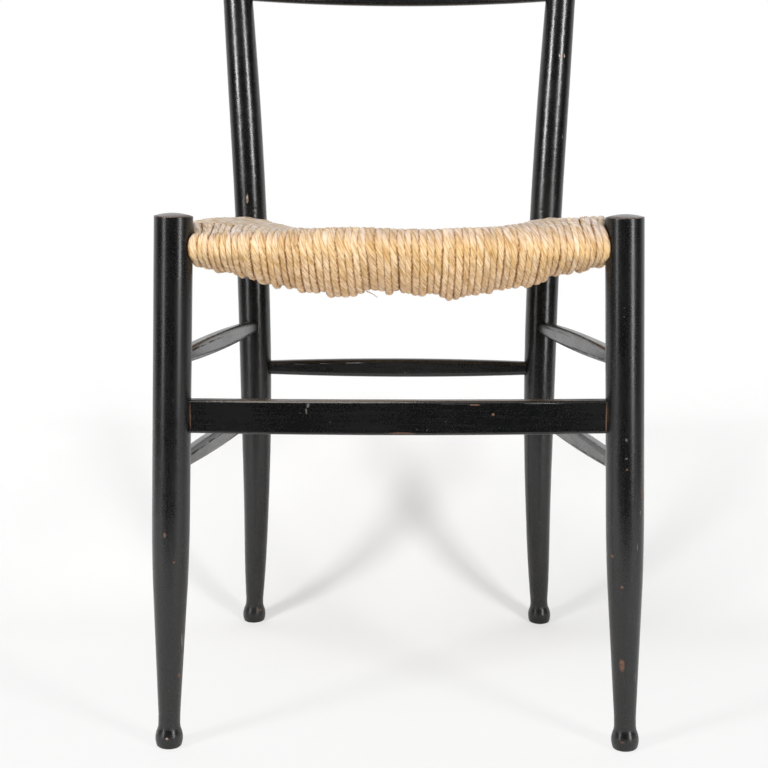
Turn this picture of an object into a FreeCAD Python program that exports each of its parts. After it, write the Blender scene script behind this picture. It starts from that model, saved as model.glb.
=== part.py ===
import FreeCAD, Part
import math
import os
import Sketcher
from FreeCAD import Placement, Rotation, Vector

# Ladderback chair: turned legs and bent back posts, seven stretchers, four bowed slats,
# and a rush seat wound over four rails round straw stuffing.
# X runs to the sitter's left as seen from the front, Y to the back, Z up. The origin is
# on the floor, under the middle of the whole chair.

doc = FreeCAD.newDocument("ladderback_chair")
sheet = doc.addObject("Spreadsheet::Sheet", "Dims")

DIMENSIONS = [
    # stance of the legs
    ("front_spacing_rim", 381, "front leg axes apart, at the rim"),
    ("front_spacing_floor", 408.4, "front leg axes apart, at the floor"),
    ("back_spacing", 304.6, "back post axes apart, where they stand upright"),
    ("stance_depth", 339, "front leg axes to back post axes, where these stand upright"),
    # turned front legs
    ("leg_height", 474, "floor to the rim of the front leg"),
    ("leg_diameter", 33.1, "straight upper part of the leg"),
    ("shoulder_height", 215, "where the leg starts to thin towards the foot"),
    ("taper_height", 150, "where the curved shoulder runs into the straight taper"),
    ("taper_diameter", 30.6, "leg at the top of the straight taper"),
    ("ankle_height", 30, "where the straight taper meets the neck"),
    ("neck_diameter", 19.5, "thinnest part, over the ball foot"),
    ("neck_hollow", 16, "radius of the hollow between neck and ball"),
    ("ball_diameter", 24.6, "ball foot"),
    ("ball_round", 20, "radius of its outline, which is longer than a true ball's"),
    ("ball_height", 8.2, "middle of the ball over the floor"),
    ("sole_round", 3, "rounded edge of the sole"),
    ("rim_edge", 1, "eased edge of the rim"),
    ("dome_rise", 2.4, "domed top over the rim"),
    # bent back posts
    ("post_height", 958, "floor to the rim of the back post"),
    ("bend_radius", 2329, "radius of the bend of the posts"),
    ("bend_heading", 27.8, "degrees that the bend turns out from straight back"),
    ("upright_height", 250, "where the bent post stands upright"),
    ("bend_end_height", 565, "where the bend ends and the post runs straight"),
    ("post_ankle_height", 27, "neck of the post over its ball foot"),
    ("post_ankle_diameter", 18.8, "post at that neck"),
    ("post_calf_height", 119, "lower part of the post"),
    ("post_calf_diameter", 26.2, "post there"),
    ("post_knee_height", 209, "post below the side stretchers"),
    ("post_knee_diameter", 30.9, "post there"),
    ("post_waist_height", 330, "thickest part of the post"),
    ("post_waist_diameter", 33.7, "post there"),
    ("post_seat_height", 470, "post above the seat"),
    ("post_seat_diameter", 33.3, "post there"),
    ("post_bend_height", 580, "post where the bend ends"),
    ("post_bend_diameter", 32.9, "post there"),
    ("post_slat_height", 690, "post at the lowest slat"),
    ("post_slat_diameter", 30.6, "post there"),
    ("post_tip_diameter", 28, "post at its rim"),
    # front stretcher
    ("front_stretcher_height", 301.7, "middle of the front stretcher's left end over the floor"),
    ("front_stretcher_rise", 1.1, "how much higher its right end sits"),
    ("front_stretcher_tall", 29.9, "its height at the middle"),
    ("front_stretcher_end_tall", 28.9, "its height at the ends"),
    ("front_stretcher_thick", 13, "front to back"),
    ("front_stretcher_dip", 1.4, "how far it has bowed down at the middle"),
    ("front_stretcher_round", 2.5, "rounded long edges"),
    # thin stretchers at the back and the sides
    ("back_stretcher_height", 287.5, "middle of the back stretcher over the floor"),
    ("upper_stretcher_front", 350.4, "upper side stretcher at the front leg"),
    ("upper_stretcher_back", 332.2, "upper side stretcher at the back post"),
    ("lower_stretcher_front", 256.3, "lower side stretcher at the front leg"),
    ("lower_stretcher_back", 238.1, "lower side stretcher at the back post"),
    ("back_stretcher_tall", 19.4, "back stretcher's height at the middle"),
    ("back_stretcher_end_tall", 14.2, "back stretcher's height at the ends"),
    ("side_stretcher_tall", 17.8, "side stretchers' height at the middle"),
    ("side_stretcher_end_tall", 12.2, "side stretchers' height at the ends"),
    ("stretcher_thick", 13, "width of the thin stretchers at the back and sides"),
    ("stretcher_round", 4.6, "their rounded long edges"),
    # slats
    ("slat_edge_height", 673.5, "lower edge of the lowest slat over the floor"),
    ("slat_tall", 42, "height of a slat"),
    ("slat_gap", 33, "clear height between slats"),
    ("slat_thick", 9, "thickness of a slat"),
    ("slat_bow", 36, "how far a slat bows back between the posts"),
    ("slat_round", 3, "rounded long edges of a slat"),
    # seat rails
    ("rail_diameter", 17, "dowel of the seat frame"),
    ("front_rail_height", 450, "front rail's axis over the floor"),
    ("back_rail_height", 419.5, "back rail's axis over the floor"),
    ("side_rail_front", 457.4, "side rail's axis at the front leg"),
    ("side_rail_back", 434.6, "side rail's axis at the back post"),
    ("rail_inset", 1, "rail axes behind or inside the leg axes"),
    # tenons and their mortises
    ("rail_tenon_diameter", 12, "round tenon of a rail"),
    ("cross_rail_tenon", 18, "depth of the front and back rails' tenons"),
    ("side_rail_tenon", 7, "depth of the side rails' tenons, which stop at the others"),
    ("stretcher_tenon_diameter", 10, "round tenon of a thin stretcher"),
    ("front_tenon_tall", 20, "flat tenon of the front stretcher, height"),
    ("front_tenon_thick", 8, "flat tenon of the front stretcher, thickness"),
    ("tenon_depth", 15, "depth of the other tenons in the leg"),
    ("slat_tenon_tall", 32, "height of a slat's tenon"),
    ("slat_tenon_thick", 6, "thickness of a slat's tenon"),
    ("glue_gap", 0.05, "room round a tenon"),
    ("end_gap", 1, "room beyond the end of a tenon"),
    # rush seat
    ("wrap_radius", 14.5, "rail axis to the outside of the cords, in front and below"),
    ("wrap_top", 13.5, "rail axis to the top of the cords"),
    ("cord_thick", 5.7, "one layer of cord"),
    ("seat_clearance", 0.3, "room between cords, rails and stuffing"),
    ("front_seam_depth", 158, "front leg axes to where the front seams meet"),
    ("back_seam_depth", 197, "front leg axes to where the back seams meet"),
    ("seat_centre_top", 434, "top of the seat at its middle"),
    ("seat_centre_bottom", 417, "underside of the seat at its middle"),
    ("front_seam_power", 1.3, "how late the front seams fall on the way to the middle"),
    ("back_seam_power", 0.5, "the same for the back seams, which fall early"),
    ("cross_crown", 2, "how far the top of the front and back fields swells"),
    ("side_crown", -4, "the same for the side fields, which have sunk"),
    ("corner_slack", 1, "how far the cords hang clear of the rail at the corners"),
    ("seam_lift", 7, "how far the underside rises to its seam at the corners"),
    ("seam_pass", 10, "how far a field runs past its seam before it is cut to it"),
    ("front_belly", 52, "how far the front field hangs below its rail's axis"),
    ("back_belly", 33, "the same for the back field"),
    ("side_belly", 30, "the same for the side fields"),
    ("belly_start", 30, "degrees below level at which the cords leave a rail, mid-rail"),
    ("corner_start", 80, "the same at the corners"),
    ("overrun", 2, "how far cutting shapes pass the faces that they cut"),
]

sheet.set("A1", "alias")
sheet.set("B1", "value")
sheet.set("C1", "what it measures")
for row, (alias, value, meaning) in enumerate(DIMENSIONS, start=2):
    sheet.set(f"A{row}", alias)
    sheet.set(f"B{row}", str(value))
    sheet.set(f"C{row}", meaning)
    sheet.setAlias(f"B{row}", alias)
doc.recompute()

SIDES = {"left": -1, "right": 1}


def size(formula):
    """The number that an alias, or a formula of aliases, gives."""
    if isinstance(formula, str):
        return float(sheet.evalExpression(formula))
    return float(formula)


# Axes of the legs and posts

def front_axis(side, height):
    """Point on the axis of a front leg, which splays out towards the floor."""
    at_rim = size("front_spacing_rim") / 2
    at_floor = size("front_spacing_floor") / 2
    out = at_floor + (at_rim - at_floor) * height / size("leg_height")
    return Vector(side * out, FRONT, height)


def bend(height):
    """How far a bent post has moved in its plane at a height, and its slope there."""
    radius = size("bend_radius")
    rise = min(height, size("bend_end_height")) - size("upright_height")
    level = math.sqrt(radius ** 2 - rise ** 2)
    slope = rise / level
    beyond = max(height - size("bend_end_height"), 0)
    return radius - level + slope * beyond, slope


def back_axis(side, height):
    """Point on the axis of a bent back post."""
    moved, slope = bend(height)
    heading = math.radians(size("bend_heading"))
    out = size("back_spacing") / 2 + moved * math.sin(heading)
    return Vector(side * out, FRONT + size("stance_depth") + moved * math.cos(heading), height)


def back_direction(side, height):
    """Direction of a back post's axis at a height."""
    slope = bend(height)[1]
    heading = math.radians(size("bend_heading"))
    return Vector(side * slope * math.sin(heading), slope * math.cos(heading), 1).normalize()


def slat_height(index):
    """Height of the middle of a slat, counted up from the lowest."""
    step = size("slat_tall") + size("slat_gap")
    return size("slat_edge_height") + size("slat_tall") / 2 + index * step


def slat_reach(height):
    """Backmost point of a slat that leans back with the posts."""
    lean = back_direction(1, height)
    level = math.hypot(lean.y, lean.z)
    rounding = size("slat_round")
    out = size("slat_bow") + size("slat_thick") / 2 - rounding
    up = size("slat_tall") / 2 - rounding
    return back_axis(1, height).y + (out * lean.z + up * lean.y) / level + rounding


# The origin is midway between the front of the front legs and whatever reaches furthest back.
SLATS = ["slat_lowest", "slat_lower_middle", "slat_upper_middle", "slat_top"]
FRONT = 0
tip_reach = back_axis(1, size("post_height")).y + size("post_tip_diameter") / 2
reach = max(tip_reach, slat_reach(slat_height(len(SLATS) - 1)))
FRONT = (size("leg_diameter") / 2 - reach) / 2


# Sketches: closed outlines whose corners and radii follow the dimensions

def bind(sketch, constraint, formula):
    """Add a constraint, held by a formula of dimensions where it has one."""
    index = sketch.addConstraint(constraint)
    if isinstance(formula, str):
        sketch.setExpression(f"Constraints[{index}]", formula)


def arc_between(start, end, radius, side):
    """Arc of less than half a circle; side 1 bulges to the left of its travel."""
    chord = end - start
    middle = (start + end) * 0.5
    sagitta = radius - math.sqrt(radius ** 2 - (chord.Length / 2) ** 2)
    left = Vector(-chord.y, chord.x, 0).normalize()
    return Part.Arc(start, middle + left * (side * sagitta), end)


def closed_outline(body, name, plane, corners, bends):
    """Sketch through corners (x, y); bends gives radius and side of the arc after a corner."""
    sketch = body.newObject("Sketcher::SketchObject", name)
    origin = body.Origin.OriginFeatures
    sketch.AttachmentSupport = next(part for part in origin if part.Role == plane)
    sketch.MapMode = "FlatFace"
    points = [Vector(size(x), size(y), 0) for x, y in corners]
    starts, ends = [], []
    for index, start in enumerate(points):
        end = points[(index + 1) % len(points)]
        forward = True
        if index in bends:
            radius, side = bends[index]
            edge = sketch.addGeometry(arc_between(start, end, size(radius), side))
            first, last = sketch.getPoint(edge, 1), sketch.getPoint(edge, 2)
            forward = first.distanceToPoint(start) < last.distanceToPoint(start)
        else:
            edge = sketch.addGeometry(Part.LineSegment(start, end))
        starts.append((edge, 1 if forward else 2))
        ends.append((edge, 2 if forward else 1))
    for index, corner in enumerate(corners):
        sketch.addConstraint(Sketcher.Constraint("Coincident", *ends[index - 1], *starts[index]))
        for kind, axis, formula in zip(("DistanceX", "DistanceY"), (-2, -1), corner):
            if formula == 0:
                on_axis = Sketcher.Constraint("PointOnObject", *starts[index], axis)
                sketch.addConstraint(on_axis)
            else:
                offset = Sketcher.Constraint(kind, -1, 1, *starts[index], size(formula))
                bind(sketch, offset, formula)
    for index, (radius, side) in bends.items():
        arc = Sketcher.Constraint("Radius", starts[index][0], size(radius))
        bind(sketch, arc, radius)
    return sketch


# Small makers

def place(thing, base, rotation=Rotation()):
    thing.Placement = Placement(base, rotation)
    return thing


def frame_along(start, end, up):
    """Rotation that lays local X from start to end, with local Z as near to up as it gets."""
    along = (end - start).normalize()
    across = up.cross(along).normalize()
    return Rotation(along, across, along.cross(across), "XZY")


def rod(name, start, end, diameter, room="0"):
    """Round bar, or drill, of a named diameter from start to end."""
    cylinder = doc.addObject("Part::Cylinder", name)
    cylinder.setExpression("Radius", f"Dims.{diameter} / 2 + {room}")
    cylinder.Height = (end - start).Length
    return place(cylinder, start, Rotation(Vector(0, 0, 1), end - start))


def block(name, start, end, tall, thick, room="0"):
    """Flat bar, or its mortise, from start to end: tall in height, thick across."""
    box = doc.addObject("Part::Box", name)
    box.Length = (end - start).Length
    box.setExpression("Width", f"Dims.{thick} + 2 * {room}")
    box.setExpression("Height", f"Dims.{tall} + 2 * {room}")
    turn = frame_along(start, end, Vector(0, 0, 1))
    half = Vector(0, size(thick) / 2 + size(room), size(tall) / 2 + size(room))
    return place(box, start - turn.multVec(half), turn)


def joined(name, pieces):
    union = doc.addObject("Part::MultiFuse", name)
    union.Shapes = pieces
    return union


def cut(name, base, tool):
    result = doc.addObject("Part::Cut", name)
    result.Base = base
    result.Tool = tool
    return result


def formed(name, shape):
    """Piece whose form no primitive gives, such as a bent post."""
    feature = doc.addObject("Part::Feature", name)
    feature.Shape = shape
    feature.Placement = Placement()
    return feature


# Turned front leg: one outline of dome, shoulder, straight taper, neck and ball

def leg_blank(side_name):
    body = doc.addObject("PartDesign::Body", f"turned_leg_{side_name}")
    ball_centre = "(Dims.ball_diameter / 2 - Dims.ball_round)"
    neck = "Dims.neck_diameter / 2"
    leg = "Dims.leg_diameter / 2"
    inner_round = "(Dims.ball_round - Dims.sole_round)"
    sole_out = f"sqrt({inner_round}^2 - (Dims.ball_height - Dims.sole_round)^2)"
    sole_share = f"Dims.ball_round / {inner_round}"
    outer_round = "(Dims.ball_round + Dims.neck_hollow)"
    hollow_out = f"({neck} + Dims.neck_hollow - {ball_centre})"
    hollow_rise = f"sqrt({outer_round}^2 - {hollow_out}^2)"
    touch_share = f"Dims.ball_round / {outer_round}"
    thinning = "(Dims.leg_diameter - Dims.taper_diameter) / 2"
    shoulder = "(Dims.shoulder_height - Dims.taper_height)"
    dome = f"({leg} - Dims.rim_edge)"
    corners = [
        (0, "-Dims.overrun"),
        (f"{ball_centre} + {sole_out}", "-Dims.overrun"),
        (f"{ball_centre} + {sole_out}", 0),
        (f"{ball_centre} + {sole_out} * {sole_share}",
         f"Dims.ball_height - (Dims.ball_height - Dims.sole_round) * {sole_share}"),
        (f"{ball_centre} + {hollow_out} * {touch_share}",
         f"Dims.ball_height + {hollow_rise} * {touch_share}"),
        (neck, f"Dims.ball_height + {hollow_rise}"),
        (neck, "Dims.ankle_height"),
        ("Dims.taper_diameter / 2", "Dims.taper_height"),
        (leg, "Dims.shoulder_height"),
        (leg, "Dims.leg_height - Dims.rim_edge"),
        (f"{leg} - Dims.rim_edge", "Dims.leg_height"),
        (0, "Dims.leg_height + Dims.dome_rise"),
    ]
    bends = {
        2: ("Dims.sole_round", -1),
        3: ("Dims.ball_round", -1),
        4: ("Dims.neck_hollow", 1),
        7: (f"({shoulder}^2 + ({thinning})^2) / (2 * {thinning})", -1),
        9: ("Dims.rim_edge", -1),
        10: (f"({dome}^2 + Dims.dome_rise^2) / (2 * Dims.dome_rise)", -1),
    }
    outline = closed_outline(body, f"leg_outline_{side_name}", "XZ_Plane", corners, bends)
    turning = body.newObject("PartDesign::Revolution", f"leg_turning_{side_name}")
    turning.Profile = outline
    turning.ReferenceAxis = (outline, ["V_Axis"])
    turning.Angle = 360
    foot = front_axis(SIDES[side_name], 0)
    rim = front_axis(SIDES[side_name], size("leg_height"))
    return place(body, foot, Rotation(Vector(0, 0, 1), rim - foot))


# Bent back post: circles carried along the bend, on the same ball foot, under a dome

def revolved(base, axis, corners, mids):
    """Solid turned about an axis from (radius, rise) corners; mids bend the edges after them."""
    turn = Rotation(Vector(0, 0, 1), axis)
    points = [Vector(radius, 0, rise) for radius, rise in corners]
    edges = []
    for index, start in enumerate(points):
        end = points[(index + 1) % len(points)]
        if index in mids:
            radius, rise = mids[index]
            edges.append(Part.Arc(start, Vector(radius, 0, rise), end).toShape())
        else:
            edges.append(Part.LineSegment(start, end).toShape())
    face = Part.Face(Part.Wire(edges))
    solid = face.revolve(Vector(0, 0, 0), Vector(0, 0, 1), 360)
    solid.Placement = Placement(base, turn)
    return solid


# where the straight upper end of a post has rings between its last swelling and its rim
STRAIGHT_SHARES = [0.25, 0.5, 0.75, 1]


def post_stations():
    """Heights and diameters that the post swells and thins through."""
    parts = ["ankle", "calf", "knee", "waist", "seat", "bend", "slat"]
    stations = [(size(f"post_{part}_height"), size(f"post_{part}_diameter")) for part in parts]
    height, diameter = stations[-1]
    straight = size("post_height") - size("rim_edge") - height
    thinning = diameter - size("post_tip_diameter")
    stations += [(height + straight * share, diameter - thinning * share)
                 for share in STRAIGHT_SHARES]
    return stations


def post_blank(side_name):
    side = SIDES[side_name]
    rings = []
    for height, diameter in post_stations():
        centre = back_axis(side, height)
        ring = Part.Circle(centre, back_direction(side, height), diameter / 2)
        rings.append(Part.Wire(ring.toShape()))
    shaft = Part.makeLoft(rings, True, False)

    ball = size("ball_round")
    ball_centre = size("ball_diameter") / 2 - ball
    edge = size("sole_round")
    hollow = size("neck_hollow")
    neck = size("post_ankle_diameter") / 2
    ankle = size("post_ankle_height")
    middle = size("ball_height")
    lean = back_direction(side, ankle)
    drop = size("ball_diameter") / 2 * math.hypot(lean.x, lean.y) / lean.z
    below = math.asin((middle - edge + drop) / (ball - edge))
    above = math.acos((neck + hollow - ball_centre) / (ball + hollow))
    sole = ball_centre + (ball - edge) * math.cos(below)
    touch = (ball_centre + ball * math.cos(above), middle + ball * math.sin(above))
    neck_start = middle + (ball + hollow) * math.sin(above)
    foot_corners = [
        (0, -drop),
        (sole, -drop),
        (ball_centre + ball * math.cos(below), middle - ball * math.sin(below)),
        touch,
        (neck, neck_start),
        (neck, ankle),
        (0, ankle),
    ]
    eighth = math.radians(45)
    turned = (math.radians(90) + below) / 2
    foot_mids = {
        1: (sole + edge * math.cos(turned), edge - drop - edge * math.sin(turned)),
        2: (ball_centre + ball * math.cos((above - below) / 2),
            middle + ball * math.sin((above - below) / 2)),
        3: (neck + hollow - hollow * math.cos(above / 2),
            neck_start - hollow * math.sin(above / 2)),
    }
    foot = revolved(back_axis(side, ankle) - lean * ankle, lean, foot_corners, foot_mids)

    rim = size("post_tip_diameter") / 2
    edge = size("rim_edge")
    dome = size("dome_rise")
    dome_radius = ((rim - edge) ** 2 + dome ** 2) / (2 * dome)
    dome_mid = math.asin((rim - edge) / dome_radius) / 2
    tip_corners = [(0, 0), (rim, 0), (rim - edge, edge), (0, edge + dome)]
    tip_mids = {
        1: (rim - edge + edge * math.cos(eighth), edge * math.sin(eighth)),
        2: (dome_radius * math.sin(dome_mid),
            edge + dome - dome_radius * (1 - math.cos(dome_mid))),
    }
    tip_height = size("post_height") - edge
    tip = revolved(back_axis(side, tip_height), back_direction(side, tip_height),
                   tip_corners, tip_mids)
    return formed(f"bent_post_{side_name}", shaft.fuse([foot, tip]).removeSplitter())


# Stretchers: sawn to shape in side view, with rounded long edges

def stretcher_body(name, length, tall, end_tall, thick, rounding, dip="0"):
    """Bar along X whose top and bottom swell from the ends to the middle, and may dip."""
    body = doc.addObject("PartDesign::Body", name)
    half = length / 2
    swell = f"(Dims.{tall} - Dims.{end_tall}) / 2"
    top_rise = f"({swell} - {dip})"
    bottom_rise = f"({swell} + {dip})"
    corners = [
        (-half, f"-Dims.{end_tall} / 2"),
        (half, f"-Dims.{end_tall} / 2"),
        (half, f"Dims.{end_tall} / 2"),
        (-half, f"Dims.{end_tall} / 2"),
    ]
    top_side = -1 if size(top_rise) > 0 else 1
    bends = {
        0: (f"({half}^2 + {bottom_rise}^2) / (2 * {bottom_rise})", -1),
        2: (f"({half}^2 + {top_rise}^2) / (2 * abs({top_rise}))", top_side),
    }
    outline = closed_outline(body, f"{name}_outline", "XZ_Plane", corners, bends)
    pad = body.newObject("PartDesign::Pad", f"{name}_pad")
    pad.Profile = outline
    pad.setExpression("Length", f"Dims.{thick}")
    pad.Midplane = True
    doc.recompute()
    rounded = body.newObject("PartDesign::Fillet", f"{name}_rounding")
    rounded.Base = (pad, long_edges(pad.Shape, length))
    rounded.setExpression("Radius", f"Dims.{rounding}")
    return body


def long_edges(shape, length):
    """Names of the edges that run most of a bar's length."""
    names = enumerate(shape.Edges, start=1)
    return [f"Edge{index}" for index, edge in names if edge.Length > length / 2]


def tenon_span(axis, other, depth, radius, room=0.0):
    """Tenon's tip inside a leg, and its root a little way inside the bar."""
    along = (other - axis).normalize()
    return axis + along * (radius - depth - room), axis + along * (radius + size("overrun"))


def radius_at(row, height):
    """Radius of a leg or post where a bar meets it."""
    if row == "front":
        return size("leg_diameter") / 2
    stations = post_stations()
    for (low, thin), (high, thick) in zip(stations, stations[1:]):
        if low <= height <= high:
            return (thin + (thick - thin) * (height - low) / (high - low)) / 2
    return stations[-1][1] / 2


def axis_at(row, side, height):
    return front_axis(side, height) if row == "front" else back_axis(side, height)


def round_tenons(name, start, end, rows, depth, diameter):
    """Round tenons at both ends of a bar, and the drilled holes that take them."""
    tenons, holes = [], []
    for tag, here, there, row in (("a", start, end, rows[0]), ("b", end, start, rows[1])):
        radius = radius_at(row, here.z)
        tip, root = tenon_span(here, there, depth, radius)
        tenons.append(rod(f"{name}_tenon_{tag}", tip, root, diameter))
        bottom, mouth = tenon_span(here, there, depth, radius, size("end_gap"))
        holes.append(rod(f"{name}_hole_{tag}", bottom, mouth, diameter, "Dims.glue_gap"))
    return tenons, holes


def flat_tenons(name, start, end, rows, depth, tall, thick):
    """Flat tenons at both ends of a bar, and the mortises that take them."""
    tenons, mortises = [], []
    for tag, here, there, row in (("a", start, end, rows[0]), ("b", end, start, rows[1])):
        radius = radius_at(row, here.z)
        tip, root = tenon_span(here, there, depth, radius)
        tenons.append(block(f"{name}_tenon_{tag}", tip, root, tall, thick))
        bottom, mouth = tenon_span(here, there, depth, radius, size("end_gap"))
        mortise = block(f"{name}_mortise_{tag}", bottom, mouth, tall, thick, "Dims.glue_gap")
        mortises.append(mortise)
    return tenons, mortises


# Legs and posts first as plain turnings, to which everything else is scribed

blanks = {}
for side_name in SIDES:
    blanks["front", side_name] = leg_blank(side_name)
    blanks["back", side_name] = post_blank(side_name)
doc.recompute()
mortises = {key: [] for key in blanks}
finished = []


def let_in(keys, pieces):
    """Remember which leg or post each hole or mortise is cut in."""
    for key, piece in zip(keys, pieces):
        mortises[key].append(piece)


# Stretchers

def shoulder(axis, other, row, thick):
    """Point of a bar's axis at its flat end, which is housed in the round of the leg."""
    depth = math.sqrt(radius_at(row, axis.z) ** 2 - (size(thick) / 2) ** 2)
    return axis + (other - axis).normalize() * depth


def housed_bar(name, keys, start, end, form, tenons):
    """Bar between two legs; its squared ends sit in shallow housings cut in them."""
    end_tall, thick = form[1:3]
    rows = [key[0] for key in keys]
    first, last = shoulder(start, end, rows[0], thick), shoulder(end, start, rows[1], thick)
    body = stretcher_body(f"{name}_bar", (last - first).Length, *form)
    place(body, (first + last) * 0.5, frame_along(start, end, Vector(0, 0, 1)))
    housings = []
    for tag, seated, away, row in (("a", first, last, rows[0]), ("b", last, first, rows[1])):
        along = (away - seated).normalize()
        bottom = seated - along * size("glue_gap")
        mouth = seated + along * radius_at(row, seated.z)
        housings.append(block(f"{name}_housing_{tag}", bottom, mouth, end_tall, thick,
                              "Dims.glue_gap"))
    let_in(keys, housings)
    piece = joined(name, [body] + tenons)
    piece.Label = name
    finished.append(piece)


def slim_stretcher(name, keys, start, end):
    tenons, holes = round_tenons(name, start, end, [key[0] for key in keys],
                                 size("tenon_depth"), "stretcher_tenon_diameter")
    let_in(keys, holes)
    kind = name.split("_")[0]
    form = [f"{kind}_stretcher_tall", f"{kind}_stretcher_end_tall",
            "stretcher_thick", "stretcher_round"]
    housed_bar(name, keys, start, end, form, tenons)


back_keys = [("back", "left"), ("back", "right")]
front_keys = [("front", "left"), ("front", "right")]
rung_height = size("back_stretcher_height")
slim_stretcher("back_stretcher", back_keys,
               back_axis(-1, rung_height), back_axis(1, rung_height))
for level in ("upper", "lower"):
    for side_name, side in SIDES.items():
        slim_stretcher(f"side_stretcher_{level}_{side_name}",
                       [("front", side_name), ("back", side_name)],
                       front_axis(side, size(f"{level}_stretcher_front")),
                       back_axis(side, size(f"{level}_stretcher_back")))


def front_stretcher():
    """Heavy flat rail between the front legs, bowed down a little by use."""
    name = "front_stretcher"
    height = size("front_stretcher_height")
    start = front_axis(-1, height)
    end = front_axis(1, height + size("front_stretcher_rise"))
    tenons, slots = flat_tenons(name, start, end, ["front", "front"], size("tenon_depth"),
                                "front_tenon_tall", "front_tenon_thick")
    let_in(front_keys, slots)
    form = ["front_stretcher_tall", "front_stretcher_end_tall", "front_stretcher_thick",
            "front_stretcher_round", "Dims.front_stretcher_dip"]
    housed_bar(name, front_keys, start, end, form, tenons)


front_stretcher()


# Slats: steamed to a bow, let into the posts by thinner and lower ends

def bowed_band(name, half_chord, bow, tall, thick, room="0"):
    """Band along X that bows back between its ends; its height runs along Z."""
    body = doc.addObject("PartDesign::Body", name)
    radius = (half_chord ** 2 + bow ** 2) / (2 * bow)
    swing = math.asin(half_chord / radius)
    half_thick = f"(Dims.{thick} / 2 + {room})"
    across, back = math.sin(swing), math.cos(swing)
    centre = bow - radius
    corners = [
        (f"-({radius} - {half_thick}) * {across}", f"{centre} + ({radius} - {half_thick}) * {back}"),
        (f"({radius} - {half_thick}) * {across}", f"{centre} + ({radius} - {half_thick}) * {back}"),
        (f"({radius} + {half_thick}) * {across}", f"{centre} + ({radius} + {half_thick}) * {back}"),
        (f"-({radius} + {half_thick}) * {across}", f"{centre} + ({radius} + {half_thick}) * {back}"),
    ]
    bends = {0: (f"{radius} - {half_thick}", 1), 2: (f"{radius} + {half_thick}", -1)}
    outline = closed_outline(body, f"{name}_plan", "XY_Plane", corners, bends)
    pad = body.newObject("PartDesign::Pad", f"{name}_pad")
    pad.Profile = outline
    pad.setExpression("Length", f"Dims.{tall} + 2 * {room}")
    pad.Midplane = True
    return body, pad


def slat(name, height):
    """Slat whose middle is at a height on the posts, leaning back with them."""
    start, end = back_axis(-1, height), back_axis(1, height)
    middle = (start + end) * 0.5
    lean = back_direction(1, height)
    lean = Vector(0, lean.y, lean.z).normalize()
    turn = Rotation(Vector(1, 0, 0), lean.cross(Vector(1, 0, 0)), lean, "ZXY")
    half_chord = (end - start).Length / 2
    body, pad = bowed_band(f"{name}_band", half_chord, size("slat_bow"), "slat_tall", "slat_thick")
    doc.recompute()
    rounded = body.newObject("PartDesign::Fillet", f"{name}_rounding")
    rounded.Base = (pad, long_edges(pad.Shape, half_chord))
    rounded.setExpression("Radius", "Dims.slat_round")
    place(body, middle, turn)
    posts = joined(f"{name}_posts", [blanks[key] for key in back_keys])
    shouldered = cut(f"{name}_scribed", body, posts)
    tongue, _ = bowed_band(f"{name}_tongue", half_chord, size("slat_bow"),
                           "slat_tenon_tall", "slat_tenon_thick")
    place(tongue, middle, turn)
    piece = joined(name, [shouldered, tongue])
    piece.Label = name
    finished.append(piece)
    slot, _ = bowed_band(f"{name}_mortises", half_chord + size("end_gap"), size("slat_bow"),
                         "slat_tenon_tall", "slat_tenon_thick", "Dims.glue_gap")
    place(slot, middle, turn)
    let_in(back_keys, [slot, slot])


for index, name in enumerate(SLATS):
    slat(name, slat_height(index))


# Seat frame: four dowels, hidden by the rush, tenoned into the legs and posts

def rail_end(row, side, height, inset_x, inset_y):
    """Where a rail's axis meets a leg: a little inside or behind the leg's own axis."""
    inset = size("rail_inset")
    point = axis_at(row, side, height)
    return Vector(point.x - side * inset * inset_x, point.y + inset * inset_y, height)


RAILS = {
    "front": (rail_end("front", -1, size("front_rail_height"), 0, 1),
              rail_end("front", 1, size("front_rail_height"), 0, 1), front_keys),
    "back": (rail_end("back", -1, size("back_rail_height"), 0, -1),
             rail_end("back", 1, size("back_rail_height"), 0, -1), back_keys),
}
for side_name, side in SIDES.items():
    RAILS[side_name] = (rail_end("front", side, size("side_rail_front"), 1, 0),
                        rail_end("back", side, size("side_rail_back"), 1, 0),
                        [("front", side_name), ("back", side_name)])

for where, (start, end, keys) in RAILS.items():
    name = f"seat_rail_{where}"
    depth = size("side_rail_tenon" if where in SIDES else "cross_rail_tenon")
    tenons, holes = round_tenons(name, start, end, [key[0] for key in keys], depth,
                                 "rail_tenon_diameter")
    let_in(keys, holes)
    dowel = rod(f"{name}_dowel", start, end, "rail_diameter")
    legs = joined(f"{name}_legs", [blanks[key] for key in keys])
    piece = joined(name, [cut(f"{name}_scribed", dowel, legs)] + tenons)
    piece.Label = name
    finished.append(piece)


# Rush seat: four fields of cord that meet at seams, each wound over its rail

EVEN_BELLY = [(0, 0), (0.06, 0.05), (0.18, 0.58), (0.32, 0.87), (0.5, 1),
              (0.68, 0.9), (0.82, 0.62), (0.94, 0.05), (1, 0)]
WORN_BELLY = [(0, 0), (0.06, 0.3), (0.17, 0.7), (0.37, 0.98), (0.48, 0.84),
              (0.61, 1), (0.76, 0.78), (0.92, 0.38), (1, 0)]
BELLY_SHARES = {"front": WORN_BELLY, "back": EVEN_BELLY, "left": EVEN_BELLY, "right": EVEN_BELLY}


def flat(point):
    return Vector(point.x, point.y, 0)


def seat_corner(row, side_name):
    """Where the front or back field and the side field first meet, at the leg's side."""
    side = SIDES[side_name]
    where = "side_rail_front" if row == "front" else "side_rail_back"
    height = size(where)
    axis = axis_at(row, side, height)
    half = radius_at(row, height)
    return Vector(axis.x - side * half, axis.y + (half if row == "front" else -half), 0)


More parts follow.
